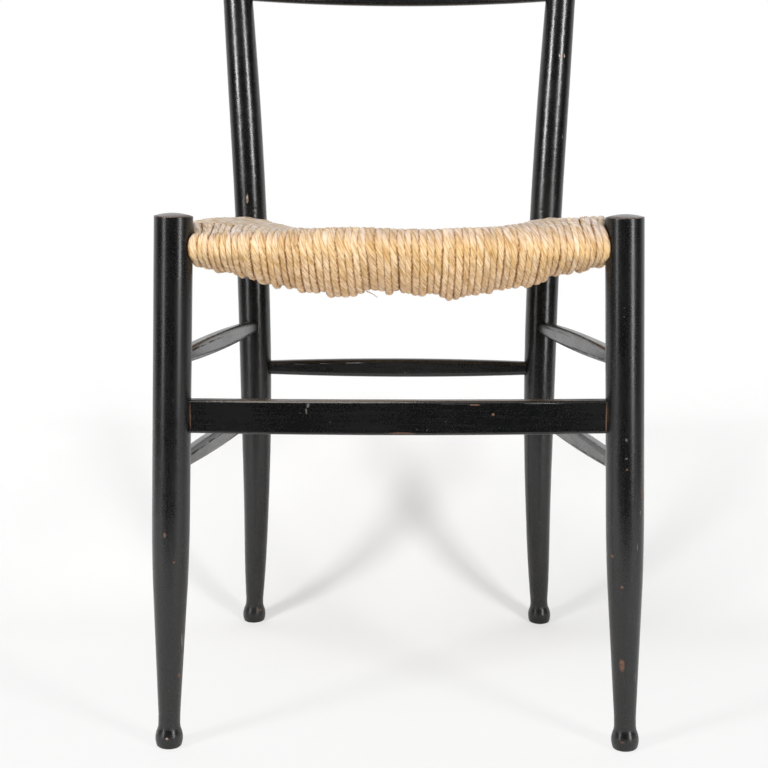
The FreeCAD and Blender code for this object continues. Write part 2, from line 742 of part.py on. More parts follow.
FRONT_APEX = Vector(0, FRONT + size("front_seam_depth"), 0)
BACK_APEX = Vector(0, FRONT + size("back_seam_depth"), 0)
CORNERS = {(row, name): seat_corner(row, name) for row in ("front", "back") for name in SIDES}
APEX = {"front": FRONT_APEX, "back": BACK_APEX}
FIELD_SEAMS = {
    "front": [("front", "left"), ("front", "right")],
    "back": [("back", "left"), ("back", "right")],
    "left": [("front", "left"), ("back", "left")],
    "right": [("front", "right"), ("back", "right")],
}
INWARD = {"front": Vector(0, 1, 0), "back": Vector(0, -1, 0),
          "left": Vector(1, 0, 0), "right": Vector(-1, 0, 0)}
BELLIES = {"front": "front_belly", "back": "back_belly",
           "left": "side_belly", "right": "side_belly"}


def seam_distance(where, point):
    """How far the seat's surface runs inward from a point of a rail to the nearest seam."""
    inward = INWARD[where]
    lines = [(CORNERS[key], APEX[key[0]]) for key in FIELD_SEAMS[where]]
    if where in SIDES:
        lines.append((FRONT_APEX, BACK_APEX))
    distances = []
    for start, end in lines:
        normal = Vector(-(end - start).y, (end - start).x, 0)
        distances.append((start - flat(point)).dot(normal) / inward.dot(normal))
    return max(min(distances), size("leg_diameter") / 2)


def seam_heights(depth):
    """Heights of the seat's top and underside where cords end, by how far back they do."""
    top, bottom = size("seat_centre_top"), size("seat_centre_bottom")
    above, below = top, bottom
    for row in APEX:
        corner, apex = CORNERS[row, "left"].y, APEX[row].y
        share = min(max((depth - corner) / (apex - corner), 0), 1)
        corner_top = size(f"side_rail_{row} + wrap_top")
        corner_bottom = size(f"{row}_rail_height - wrap_radius + seam_lift")
        above += (corner_top - top) * (1 - share ** size(f"{row}_seam_power"))
        below += (corner_bottom - bottom) * (1 - share)
    return above, below


def wrap_section(origin, inward, form, inset):
    """Closed section of a field, in the upright plane across its rail.

    The cords come over the rail, round its outside, leave it at a slope and sag in one
    curve to the lowest point of the belly, then rise to the seam.
    """
    radius = size("wrap_radius") - inset
    top = size("wrap_top") - inset
    belly = form["belly"] - inset
    leave = math.radians(form["leave"])
    reach = form["reach"]
    end_top = form["end_top"] - inset
    end_bottom = form["end_bottom"] + inset
    sag_radius = (belly - radius * math.sin(leave)) / (1 - math.sin(leave))
    lowest = (sag_radius - radius) * math.cos(leave)
    rise = end_bottom + belly
    rise_radius = ((reach - lowest) ** 2 + rise ** 2) / (2 * rise)

    def at(across, up):
        return origin + inward * across + Vector(0, 0, up)

    over = math.radians(45)
    under = leave / 2
    sag = (math.pi / 2 + leave) / 2
    climb = math.asin((reach - lowest) / rise_radius) / 2
    points = [
        at(0, top),
        at(-radius * math.sin(over), top * math.cos(over)),
        at(-radius, 0),
        at(-radius * math.cos(under), -radius * math.sin(under)),
        at(-radius * math.cos(leave), -radius * math.sin(leave)),
        at(lowest - sag_radius * math.cos(sag), sag_radius * (1 - math.sin(sag)) - belly),
        at(lowest, -belly),
        at(lowest + rise_radius * math.sin(climb), rise_radius * (1 - math.cos(climb)) - belly),
        at(reach, end_bottom),
    ]
    edges = [Part.Arc(*points[first:first + 3]).toShape() for first in (0, 2, 4, 6)]
    edges.append(Part.LineSegment(at(reach, end_bottom), at(reach, end_top)).toShape())
    swell = at(reach / 2, (end_top + top) / 2 + form["crown"])
    edges.append(Part.Arc(at(reach, end_top), swell, at(0, top)).toShape())
    return Part.Wire(edges)


def field_loft(where, inset):
    """One field of the seat, or its hollow, from leg axis to leg axis."""
    start, end, _ = RAILS[where]
    middle = (start + end) * 0.5
    deepest = seam_distance(where, middle)
    hang = size("wrap_radius") + size("corner_slack")
    crown = size("side_crown" if where in SIDES else "cross_crown")
    sections = []
    for share, belly_share in BELLY_SHARES[where]:
        point = start + (end - start) * share
        seam = seam_distance(where, point)
        reach = seam + size("seam_pass")
        above, below = seam_heights((point + INWARD[where] * seam).y)
        rise = above - point.z - size("wrap_top")
        form = {
            "belly": hang + (size(BELLIES[where]) - hang) * belly_share,
            "leave": size("corner_start")
            + (size("belly_start") - size("corner_start")) * belly_share,
            "reach": reach,
            "end_top": size("wrap_top") + rise * reach / seam,
            "end_bottom": below - point.z,
            "crown": crown * seam / deepest,
        }
        sections.append(wrap_section(point, INWARD[where], form, inset))
    return Part.makeLoft(sections, True, False)


def field_prism(where, inset):
    """Upright block over one field's plan, bounded by its seams."""
    keys = FIELD_SEAMS[where]
    far = [APEX[key[0]] + (CORNERS[key] - APEX[key[0]]) * 2 for key in keys]
    if where in SIDES:
        plan = [FRONT_APEX, far[0], far[1], BACK_APEX, FRONT_APEX]
    else:
        plan = [APEX[where], far[0], far[1], APEX[where]]
    face = Part.Face(Part.makePolygon(plan))
    if inset:
        face = face.makeOffset2D(-inset)
    return face.extrude(Vector(0, 0, size("leg_height") + size("dome_rise")))


def field_solid(where, inset):
    return field_loft(where, inset).common(field_prism(where, inset))


def tunnel(where, room):
    """Round way for a rail through the seat."""
    start, end, _ = RAILS[where]
    radius = size("rail_diameter") / 2 + room
    return Part.makeCylinder(radius, (end - start).Length, start, end - start)


clearance = size("seat_clearance")
cord = size("cord_thick")
leg_shapes = [blank.Shape for blank in blanks.values()]
outside = [field_solid(where, 0) for where in RAILS]
hollows = [field_solid(where, cord) for where in RAILS]
tunnels = [tunnel(where, clearance / 2) for where in RAILS]
seat_shape = outside[0].fuse(outside[1:]).cut(hollows + tunnels + leg_shapes)
seat = formed("rush_seat", seat_shape)
seat.Label = "rush_seat"
finished.append(seat)

for where in RAILS:
    pad = field_solid(where, cord + clearance).cut([tunnel(where, clearance)] + leg_shapes)
    pad = max(pad.Solids, key=lambda solid: solid.Volume)
    stuffing = formed(f"stuffing_{where}", pad)
    stuffing.Label = f"stuffing_{where}"
    finished.append(stuffing)


# Finished legs and posts: cut flat on the floor, with every hole and mortise

floor = doc.addObject("Part::Box", "floor_cut")
for direction in ("Length", "Width"):
    floor.setExpression(direction, "2 * Dims.post_height")
floor.setExpression("Height", "Dims.leg_height")
place(floor, Vector(-size("post_height"), -size("post_height"), -size("leg_height")))

for (row, side_name), blank in blanks.items():
    name = f"front_leg_{side_name}" if row == "front" else f"back_post_{side_name}"
    cutters = joined(f"{name}_cuts", [floor] + mortises[row, side_name])
    piece = cut(name, blank, cutters)
    piece.Label = name
    finished.append(piece)

doc.recompute()


# Every object has to be sound before anything is written

for thing in doc.Objects:
    faults = {"Invalid", "Error"} & set(thing.State)
    if faults:
        raise RuntimeError(f"{thing.Name}: {sorted(faults)}")
for piece in finished:
    shape = piece.Shape
    if shape.isNull() or not shape.isValid() or len(shape.Solids) != 1:
        raise RuntimeError(f"{piece.Label}: not one sound solid, {len(shape.Solids)} found")

os.makedirs("parts", exist_ok=True)
for piece in finished:
    piece.Shape.exportStep(f"parts/{piece.Label}.step")
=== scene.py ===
import math

import bpy
import numpy as np
from mathutils import Matrix, Vector


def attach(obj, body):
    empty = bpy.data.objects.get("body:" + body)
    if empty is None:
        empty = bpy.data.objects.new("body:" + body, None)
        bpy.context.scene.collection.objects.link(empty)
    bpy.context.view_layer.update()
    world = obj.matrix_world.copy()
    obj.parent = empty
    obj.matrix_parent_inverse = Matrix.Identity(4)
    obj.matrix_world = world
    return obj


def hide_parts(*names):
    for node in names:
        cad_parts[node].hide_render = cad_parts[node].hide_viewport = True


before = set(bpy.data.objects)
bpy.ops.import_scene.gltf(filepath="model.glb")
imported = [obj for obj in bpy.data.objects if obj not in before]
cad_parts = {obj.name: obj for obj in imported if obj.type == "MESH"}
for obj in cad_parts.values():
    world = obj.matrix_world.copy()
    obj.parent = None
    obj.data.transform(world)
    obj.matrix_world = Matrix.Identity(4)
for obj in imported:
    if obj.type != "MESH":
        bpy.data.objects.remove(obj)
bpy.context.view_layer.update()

# The photographer's place: a camera on a short stand in front of the chair, looking a
# little down at the seat, so that the frame cuts the posts off at the lowest slat.

def placed(name, data):
    """New object at the origin that holds a mesh, a lamp or a camera."""
    made = bpy.data.objects.new(name, data)
    bpy.context.collection.objects.link(made)
    return made


leg_line = -0.21329  # the line across the chair that the front legs stand on
stand_off, lens_height, off_centre = 1.3545, 0.5716, -0.003
heading, pitch, roll = math.radians(-0.393), math.radians(10.113), math.radians(-0.145)
forward = Vector((math.sin(heading) * math.cos(pitch), math.cos(heading) * math.cos(pitch),
                  -math.sin(pitch)))
level_right = Vector((math.cos(heading), -math.sin(heading), 0))
level_down = forward.cross(level_right)
right = level_right * math.cos(roll) + level_down * math.sin(roll)
down = level_down * math.cos(roll) - level_right * math.sin(roll)
lens = bpy.data.cameras.new("camera")
lens.lens = 75
lens.sensor_width = 36
camera = placed("camera", lens)
turned = Matrix((right, -down, -forward)).transposed().to_4x4()
stand = Matrix.Translation((off_centre, leg_line - stand_off, lens_height))
camera.matrix_world = stand @ turned
bpy.context.scene.camera = camera
bpy.context.scene.view_settings.view_transform = "Standard"


# Black lacquer: brushed on turned beech and rubbed to a satin. The grain shows faintly
# through it, dust has dried into it as specks, and knocks have chipped it to the wood.

# the lacquer from deepest to greyest, then dust, rubbed places and a painted highlight, and the
# painted reflection on the crowns
deep_blacks = (0.0012, 0.0015, 0.0015, 1), (0.0028, 0.0032, 0.0031, 1)
grain_black, grit_black = (0.007, 0.0068, 0.0066, 1), (0.018, 0.0172, 0.0165, 1)
dust_grey, rubbed_and_highlight_grey = (0.14, 0.13, 0.12, 1), (0.17, 0.155, 0.14, 1)
crown_sheen_grey = (0.15, 0.128, 0.122, 1)
# the beech under it, dark in old chips and pale in fresh ones
old_wood = (0.05, 0.021, 0.011, 1), (0.16, 0.080, 0.045, 1)
fresh_wood = (0.13, 0.06, 0.045, 1), (0.62, 0.47, 0.39, 1)


def new_material(name):
    """New material, its node tree and its shader."""
    material = bpy.data.materials.new(name)
    material.use_nodes = True
    tree = material.node_tree
    return material, tree, tree.nodes["Principled BSDF"]


def node(tree, kind, links=(), **values):
    """New shader node; links gives (socket, source) pairs, values its own properties."""
    made = tree.nodes.new(kind)
    for key, value in values.items():
        setattr(made, key, value)
    for socket, source in links:
        if hasattr(source, "is_output"):
            tree.links.new(source, made.inputs[socket])
        else:
            made.inputs[socket].default_value = source
    return made


def sums(tree, operation, *terms):
    """One number worked out from others by a Math node."""
    return node(tree, "ShaderNodeMath", enumerate(terms), operation=operation).outputs[0]


def plus(tree, first, second):
    """The sum of two numbers."""
    return sums(tree, "ADD", first, second)


def times(tree, first, second):
    """The product of two numbers."""
    return sums(tree, "MULTIPLY", first, second)


def grown(tree, value, low, high, to_low=0.0, to_high=1.0):
    """A number carried smoothly from one range to another."""
    links = [(0, value), (1, low), (2, high), (3, to_low), (4, to_high)]
    return node(tree, "ShaderNodeMapRange", links, interpolation_type="SMOOTHSTEP").outputs[0]


def noise(tree, place, scale, detail=3.0, stretch=(1, 1, 1)):
    """Noise on a place, drawn out along an axis by a small stretch number."""
    laid = node(tree, "ShaderNodeMapping", [(0, place), (3, stretch)]).outputs[0]
    links = [("Vector", laid), ("Scale", scale), ("Detail", detail)]
    return node(tree, "ShaderNodeTexNoise", links).outputs[0]


def blended(tree, share, first, second):
    """A colour between two colours: the first at a share of 0, the second at 1."""
    links = [(0, share), (6, first), (7, second)]
    return node(tree, "ShaderNodeMix", links, data_type="RGBA").outputs[2]


def cells_of(tree, place, scale):
    """Cells scattered through the wood: the distance to a cell's middle, and its own number."""
    cells = node(tree, "ShaderNodeTexVoronoi", [("Vector", place), ("Scale", scale)])
    own = node(tree, "ShaderNodeSeparateColor", [(0, cells.outputs["Color"])]).outputs[0]
    return cells.outputs["Distance"], own


def spots(tree, place, ragged, marks):
    """Mask of worn spots: each mark is a place and its half sizes.

    A point is worn where its distance from the place, counted in half sizes, and the
    ragged noise together stay under about 1.5.
    """
    mask = None
    for spot, half in marks:
        away = node(tree, "ShaderNodeVectorMath", [(0, place), (1, spot)], operation="SUBTRACT")
        scaled = node(tree, "ShaderNodeVectorMath",
                      [(0, away.outputs[0]), (1, tuple(1 / size for size in half))],
                      operation="MULTIPLY")
        length = node(tree, "ShaderNodeVectorMath", [(0, scaled.outputs[0])],
                      operation="LENGTH").outputs["Value"]
        worn = grown(tree, plus(tree, length, ragged), 1.35, 1.6, 1, 0)
        mask = worn if mask is None else sums(tree, "MAXIMUM", mask, worn)
    return mask


def band(tree, height, low, high):
    """Mask of heights between two levels, soft over a few tenths of a millimetre."""
    soft = 0.0002
    up = grown(tree, height, low - soft, low + soft)
    return times(tree, up, grown(tree, height, high - soft, high + soft, 1, 0))


def lacquer(name, along, bare_marks=(), rubbed_and_highlight_marks=(), pale_marks=(), rings=(),
            painted_crown_sheen=False):
    """Black lacquer over wood whose grain is drawn out along the piece.

    Bare and pale marks show the wood, old and fresh, rubbed marks grey the lacquer, one
    of them as a painted highlight, and each ring bares the wood between two heights. The
    crown sheen paints the domed end paler grey, a painted reflection. Dust, grit and chips
    are everywhere.
    """
    material, tree, shader = new_material(name)
    shader.inputs["Specular IOR Level"].default_value = 0.56
    place = node(tree, "ShaderNodeTexCoord").outputs["Object"]
    grain = noise(tree, place, 300, 4, along)
    cloud = noise(tree, place, 14, 3)
    fine = noise(tree, place, 700, 3)
    grit = noise(tree, place, 1100, 2)

    # specks of dust in one cell out of four, and chips in one wide cell out of ten
    distance, own = cells_of(tree, place, 120)
    dust = times(tree, grown(tree, distance, 0.04, 0.085, 1, 0), grown(tree, own, 0.74, 0.78))
    distance, own = cells_of(tree, place, 26)
    near = plus(tree, distance, times(tree, fine, 0.12))
    bare = times(tree, grown(tree, near, 0.085, 0.1, 1, 0), grown(tree, own, 0.9, 0.92))

    # the marks and rings that bare the wood, with ragged edges
    ragged = times(tree, fine, 1.3)
    if bare_marks:
        bare = sums(tree, "MAXIMUM", bare, spots(tree, place, ragged, bare_marks))
    height = node(tree, "ShaderNodeSeparateXYZ", [(0, place)]).outputs[2]
    height = plus(tree, height, times(tree, fine, 0.0016))
    for low, high in rings:
        bare = sums(tree, "MAXIMUM", bare, band(tree, height, low, high))

    # black, a little lighter on the grain and the grit, with the marks over it
    colour = blended(tree, cloud, *deep_blacks)
    colour = blended(tree, grown(tree, grain, 0.5, 0.8, 0, 0.5), colour, grain_black)
    colour = blended(tree, grown(tree, grit, 0.5, 0.68, 0, 0.6), colour, grit_black)
    colour = blended(tree, times(tree, dust, 0.75), colour, dust_grey)
    if rubbed_and_highlight_marks:
        rubbed = spots(tree, place, ragged, rubbed_and_highlight_marks)
        colour = blended(tree, times(tree, rubbed, 0.7), colour, rubbed_and_highlight_grey)
    chipped = blended(tree, grown(tree, fine, 0.35, 0.65), *old_wood)
    colour = blended(tree, bare, colour, chipped)
    if pale_marks:
        pale_wood = spots(tree, place, ragged, pale_marks)
        fresh = blended(tree, grown(tree, fine, 0.42, 0.6), *fresh_wood)
        colour = blended(tree, pale_wood, colour, fresh)
        bare = sums(tree, "MAXIMUM", bare, pale_wood)
    if painted_crown_sheen:
        # the domed end is painted paler grey: a painted reflection of the light on it
        crown = grown(tree, height, 0.4742, 0.4752, 0, 0.8)
        colour = blended(tree, crown, colour, crown_sheen_grey)
    tree.links.new(colour, shader.inputs["Base Color"])

    # a satin gloss, duller on the grain and the grit, and matt on bare wood
    rough = grown(tree, cloud, 0.3, 0.7, 0.21, 0.28)
    rough = plus(tree, rough, grown(tree, grain, 0.35, 0.75, 0, 0.04))
    rough = plus(tree, rough, grown(tree, grit, 0.4, 0.7, 0, 0.05))
    rough = plus(tree, rough, times(tree, bare, 0.35))
    tree.links.new(rough, shader.inputs["Roughness"])

    # grain, dust and grit stand up a little, and bare places lie a coat deeper
    relief = plus(tree, times(tree, grain, 0.1), times(tree, dust, 0.5))
    relief = plus(tree, relief, times(tree, grit, 0.13))
    relief = sums(tree, "SUBTRACT", relief, bare)
    bump = node(tree, "ShaderNodeBump",
                [("Strength", 0.2), ("Distance", 0.0003), ("Height", relief)])
    tree.links.new(bump.outputs[0], shader.inputs["Normal"])
    return material


def finish_node(name, material):
    """Gives every slot of a frame node one material."""
    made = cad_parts[name]
    if not made.data.materials:
        made.data.materials.append(material)
    for slot in made.material_slots:
        slot.material = material


# wear of each piece, with a painted highlight and a painted reflection among it: places and half
# sizes of its marks, and heights of its rings
crown_ring, foot_ring = (0.4744, 0.4751), (-0.001, 0.0018)
wear_and_sheen = {
    "front_leg_left": dict(
        bare_marks=[((-0.2015, -0.2288, 0.1992), (0.0015, 0.002, 0.003)),
                    ((-0.1943, -0.2277, 0.1747), (0.0015, 0.002, 0.0012)),
                    ((-0.1931, -0.2198, 0.0687), (0.002, 0.002, 0.0028)),
                    ((-0.1795, -0.218, 0.304), (0.0016, 0.003, 0.014))],
        rubbed_and_highlight_marks=[((-0.1899, -0.2188, 0.1026), (0.0006, 0.002, 0.010)),
                      ((-0.2063, -0.2265, 0.4262), (0.001, 0.002, 0.0015))],
        pale_marks=[((-0.2042, -0.2257, 0.0111), (0.0016, 0.002, 0.0014))],
        rings=[crown_ring, foot_ring], painted_crown_sheen=True),
    "front_leg_right": dict(
        bare_marks=[((0.2118, -0.2215, 0.2357), (0.002, 0.003, 0.0065)),
                    ((0.1873, -0.2233, 0.1806), (0.003, 0.002, 0.002)),
                    ((0.1953, -0.2274, 0.1539), (0.0018, 0.002, 0.0015)),
                    ((0.1978, -0.2243, 0.0816), (0.0032, 0.002, 0.0072)),
                    ((0.2101, -0.2209, 0.0693), (0.0009, 0.002, 0.006)),
                    ((0.1998, -0.2258, 0.0098), (0.0022, 0.002, 0.0011)),
                    ((0.1797, -0.218, 0.304), (0.0014, 0.003, 0.013)),
                    ((0.1962, -0.2295, 0.2590), (0.0009, 0.002, 0.0012))],
        rubbed_and_highlight_marks=[((0.1950, -0.2295, 0.285), (0.001, 0.002, 0.0018)),
                      ((0.1957, -0.2295, 0.2688), (0.0012, 0.002, 0.0012)),
                      ((0.2095, -0.2245, 0.2200), (0.0006, 0.002, 0.002)),
                      ((0.2075, -0.2262, 0.190), (0.0005, 0.002, 0.004))],
        rings=[crown_ring, foot_ring], painted_crown_sheen=True),
    "back_post_left": dict(
        bare_marks=[((-0.1510, 0.1275, 0.0150), (0.003, 0.003, 0.002))],
        rubbed_and_highlight_marks=[((-0.1565, 0.1190, 0.39), (0.0012, 0.002, 0.010))],
        pale_marks=[((-0.1585, 0.1192, 0.4674), (0.0014, 0.003, 0.0058))],
        rings=[foot_ring]),
    "back_post_right": dict(
        rubbed_and_highlight_marks=[((0.1713, 0.1299, 0.5325), (0.0012, 0.002, 0.003)),
                      ((0.1660, 0.1262, 0.5090), (0.001, 0.002, 0.001)),
                      ((0.1440, 0.117, 0.0250), (0.001, 0.003, 0.002))],
        pale_marks=[((0.1676, 0.1359, 0.6158), (0.0016, 0.003, 0.0028)),
                    ((0.1725, 0.1365, 0.6160), (0.0008, 0.003, 0.0026))],
        rings=[foot_ring]),
    "front_stretcher": dict(
        bare_marks=[((0.0814, -0.2201, 0.3050), (0.0017, 0.003, 0.0015)),
                    ((0.0655, -0.2201, 0.3132), (0.006, 0.003, 0.0009)),
                    ((0.0030, -0.2195, 0.2880), (0.013, 0.003, 0.0010)),
                    ((-0.1788, -0.2190, 0.303), (0.0008, 0.004, 0.015)),
                    ((0.1788, -0.2190, 0.303), (0.0008, 0.004, 0.015))],
        rubbed_and_highlight_marks=[((-0.0774, -0.2201, 0.3122), (0.0014, 0.003, 0.0026)),
                      ((-0.0790, -0.2201, 0.3070), (0.0008, 0.003, 0.0030)),
                      # the last mark, long and thin along the top front edge, is a painted
                      # highlight
                      ((-0.0750, -0.2188, 0.3152), (0.105, 0.0022, 0.0011))]),
}
# the grain drawn out along the chair's width, depth or height
along_x, along_y, along_z = (0.06, 1, 1), (1, 0.06, 1), (1, 1, 0.06)
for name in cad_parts:
    if name.startswith(("front_leg", "back_post")):
        finish_node(name, lacquer(f"lacquer_{name}", along_z, **wear_and_sheen[name]))
    elif name.startswith("side_stretcher"):
        finish_node(name, lacquer(f"lacquer_{name}", along_y))
    elif name.startswith(("front_stretcher", "back_stretcher", "slat")):
        finish_node(name, lacquer(f"lacquer_{name}", along_x, **wear_and_sheen.get(name, {})))


# Seat frame and stuffing: four dowels of bare beech, with straw pushed into the pockets
# between the layers of cord. The cords hide both.

def matt(name, dark, light, scale, stretch, roughness):
    """Matt material: two colours mixed by noise, drawn out along an axis."""
    material, tree, shader = new_material(name)
    place = node(tree, "ShaderNodeTexCoord").outputs["Object"]
    colour = blended(tree, noise(tree, place, scale, 4, stretch), dark, light)
    tree.links.new(colour, shader.inputs["Base Color"])
    shader.inputs["Roughness"].default_value = roughness
    return material


beech_tones = (0.45, 0.30, 0.18, 1), (0.62, 0.45, 0.29, 1)
straw_tones = (0.12, 0.07, 0.035, 1), (0.34, 0.23, 0.11, 1)
beech = matt("beech", *beech_tones, scale=120, stretch=(0.2, 0.2, 1), roughness=0.6)
straw = matt("straw", *straw_tones, scale=300, stretch=(0.15, 1, 1), roughness=0.8)
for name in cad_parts:
    if name.startswith("seat_rail"):
        finish_node(name, beech)
    if name.startswith("stuffing"):
        finish_node(name, straw)


# Rush seat: leaves of rush twisted by hand into one long cord and wound over the four
# rails, corner after corner, so that four fields of cord meet along mitred seams. Each
# cord comes over a rail, round its outside, and sags under it before it climbs back.

# the right legs at the level of the rails: the axis in plan, the radius that the cords
# lie against, and how far the axis goes outward, splay, and back, rake, a metre further down
rail_level = 0.457
legs = {
    "front": dict(x=0.19098, y=leg_line, radius=0.01655, splay=0.0285, rake=0.0),
    "back": dict(x=0.155717, y=leg_line + 0.345481, radius=0.0167, splay=-0.034, rake=-0.064),
}

# the seams in plan: from the inner corner beside each leg to the front or back end of the
# seam in the middle
corners = {
    row: (leg["x"] - leg["radius"], leg["y"] + inner * leg["radius"])
    for (row, leg), inner in zip(legs.items(), (1, -1))
}
apex = {"front": np.array((0.0, leg_line + 0.158)), "back": np.array((0.0, leg_line + 0.197))}

# heights of the seams, on top of the seat and under it
centre_top, front_top, back_top = 0.434, 0.471, 0.448
centre_bottom, front_bottom, back_bottom = 0.417, 0.4425, 0.412

# from the axis of a rail to the outside of the cords: over its side, its top and under it
round_side, round_top, round_under = 0.0145, 0.0135, 0.0155
# half the thickness and half the width of a cord, and the shortest way to a seam, which is
# also how far the first and last cords keep from the ends of their rail
cord_deep, cord_wide, beside_axis = 0.0025, 0.0026, 0.0165

# the four fields: the ends of the rail's axis, which way the cords run inward from it, how
# far the deepest hangs below it, how far one of 0.15 m swells on top, how many there are,
# and the seed of their unevenness
crown_reach = 0.15
seat_fields = {
    "front": dict(start=(-0.191194, leg_line + 0.001, 0.450),
                  end=(0.191194, leg_line + 0.001, 0.450),
                  inward=(0, 1, 0), belly=0.052, crown=0.002, cords=61, seed=3),
    "back": dict(start=(0.15518, leg_line + 0.343463, 0.4195),
                 end=(-0.15518, leg_line + 0.343463, 0.4195),
                 inward=(0, -1, 0), belly=0.033, crown=0.002, cords=51, seed=5),
    "left": dict(start=(-0.154717, leg_line + 0.345481, 0.4346),
                 end=(-0.18998, leg_line, 0.4574),
                 inward=(1, 0, 0), belly=0.030, crown=-0.004, cords=56, seed=7),
    "right": dict(start=(0.18998, leg_line, 0.4574),
                  end=(0.154717, leg_line + 0.345481, 0.4346),
                  inward=(-1, 0, 0), belly=0.030, crown=-0.004, cords=56, seed=11),
}

# how far the cords sag, as a share of the field's deepest, at shares of its rail: evenly,
# or as in front, where years of sitting have pulled the cords down unevenly
even_belly = ((0, 0.06, 0.18, 0.32, 0.5, 0.68, 0.82, 0.94, 1),
              (0, 0.05, 0.58, 0.87, 1, 0.9, 0.62, 0.05, 0))
worn_belly = ((0, 0.03, 0.045, 0.065, 0.08, 0.1, 0.12, 0.15, 0.193, 0.25, 0.307, 0.375, 0.421,
               0.464, 0.507, 0.564, 0.621, 0.679, 0.764, 0.821, 0.864, 0.907, 0.93, 0.95,
               0.97, 1),
              (0.04, 0.16, 0.29, 0.32, 0.34, 0.46, 0.42, 0.57, 0.72, 0.83, 0.95, 0.99, 0.87,
               0.91, 0.94, 0.98, 1.06, 0.95, 0.79, 0.63, 0.46, 0.37, 0.28, 0.26,
               0.17, 0.0))

# how far the top of each field sits higher than its even form, in millimetres, at shares
# of its rail: the seat is fuller at the right front corner than at the left one
worn_top = {
    "front": ((0, 0.1, 0.2, 0.27, 0.37, 0.43, 0.5, 0.58, 0.63, 0.72, 0.77, 0.82, 0.9, 0.94,
               0.97, 1),
              (-3.2, -3.4, -2.2, -0.6, 1.2, 1.2, 0.0, 0.1, 1.2, 1.2, 2.0, 2.4, 3.4, 3.6,
               3.2, 2.4)),
    "left": ((0, 0.6, 0.8, 1), (0, 0, -3.2, -3.8)),
    "right": ((0, 0.03, 0.08, 0.15, 1), (1.4, 1.4, 0.4, 0, 0)),
    "back": ((0, 1), (0, 0)),
}

# how far cords lean along the front rail, in millimetres to the right, at shares of the
# rail and at four places round it: top, front, lower front and underneath
lean_shares = (0, 0.15, 0.3, 0.45, 0.6, 0.8, 1)
lean_marks = (0.2, 1.0, 1.5, 2.0)
leans = ((0.5, 2.5, 3.0, 2.0, -0.5, -2.0, -1.0), (0, 0, 0, 0, 0.3, 1.0, 0.5),
         (-1.2, 0.2, 2.4, 3.0, 0.5, 0.2, 1.2), (-1.6, 0.8, 4.0, 4.6, 0.0, -0.4, 1.6))

# red, green and blue of the rush at places round the rail: dusty on top, where people
# sit, and honey on the outside, with a few paler cords. Painted light as well: darker high
# on the outside, as painted shade, and brighter low on the outside and underneath, as
# painted light bounced up from the floor
tint_marks = (0, 0.5, 1.0, 1.25, 1.6, 2.0)
rush_tints_and_painted_light = ((0.68, 0.63, 0.81, 0.93, 0.88, 0.83), (0.60, 0.505, 0.595, 0.685, 0.635, 0.58),
             (0.54, 0.40, 0.36, 0.385, 0.385, 0.35))
pale_rush = np.array((0.90, 0.75, 0.56))

# stains of the leaves and fibres, and the painted shade, in brown, in the grooves between the
# strands and in the pinches between the cords
leaf_tones = (0.90, 0.83, 0.66, 1), (1.03, 1.05, 1.10, 1)
fibre_tones = (0.70, 0.56, 0.39, 1), (1.08, 1.08, 1.10, 1)
groove_shade_brown, pinch_shade_brown = (0.42, 0.22, 0.085, 1), (0.30, 0.13, 0.04, 1)
# the inner cords' browns, dark as painted shade under the outer cords
inner_shade_tones = (0.12, 0.06, 0.025, 1), (0.27, 0.155, 0.075, 1)


def mixed(share, low, high):
    """Low at a share of 0, high at 1, and in proportion between."""
    return low + (high - low) * share


def drift(rng, rows, columns, waves):
    """Smooth seeded wander, about -1 to 1: a few slow sine waves of random phase a row."""
    along = np.linspace(0, 1, columns)[None, :]
    total = np.zeros((rows, columns))
    for wave in range(1, waves + 1):
        phase = rng.uniform(0, 2 * np.pi, (rows, 1))
        rate = wave * rng.uniform(0.7, 1.3, (rows, 1))
        total += np.sin(2 * np.pi * rate * along + phase) / wave ** 0.7
    return total / 1.6


def corner_of(side, row):
    """Place in plan of a corner where seams start: side -1 is the left, 1 the right."""
    x, y = corners[row]
    return np.array((side * x, y))


def field_seams(where):
    """The seams that bound a field in plan."""
    if where in apex:
        return [(corner_of(-1, where), apex[where]), (corner_of(1, where), apex[where])]
    side = -1 if where == "left" else 1
    return [(corner_of(side, "front"), apex["front"]), (corner_of(side, "back"), apex["back"]),
            (apex["front"], apex["back"])]


def seam_reach(points, inward, seams):
    """How far the cords run inward from points of the rail to the nearest seam.

    The way to a seam is the distance to its line, square to it, over the part of the
    inward direction that is square to it.
    """
    distances = []
    for start, end in seams:
        run = np.subtract(end, start)
        normal = np.array((-run[1], run[0]))
        distances.append(((start - points[:, :2]) @ normal) / (inward[:2] @ normal))
    return np.maximum(np.min(distances, axis=0), beside_axis)


def seam_heights(y):
    """Height of the seat's top and underside at the seams, by how far back they are.

    Each falls from its height at the corners, straight or as a power, to that in the middle.
    """
    front, back = [np.clip((y - corners[row][1]) / (apex[row][1] - corners[row][1]), 0, 1)
                   for row in ("front", "back")]
    top = centre_top + (front_top - centre_top) * (1 - front ** 1.3) \
        + (back_top - centre_top) * (1 - back ** 0.5)
    bottom = centre_bottom + (front_bottom - centre_bottom) * (1 - front) \
        + (back_bottom - centre_bottom) * (1 - back)
    return top, bottom


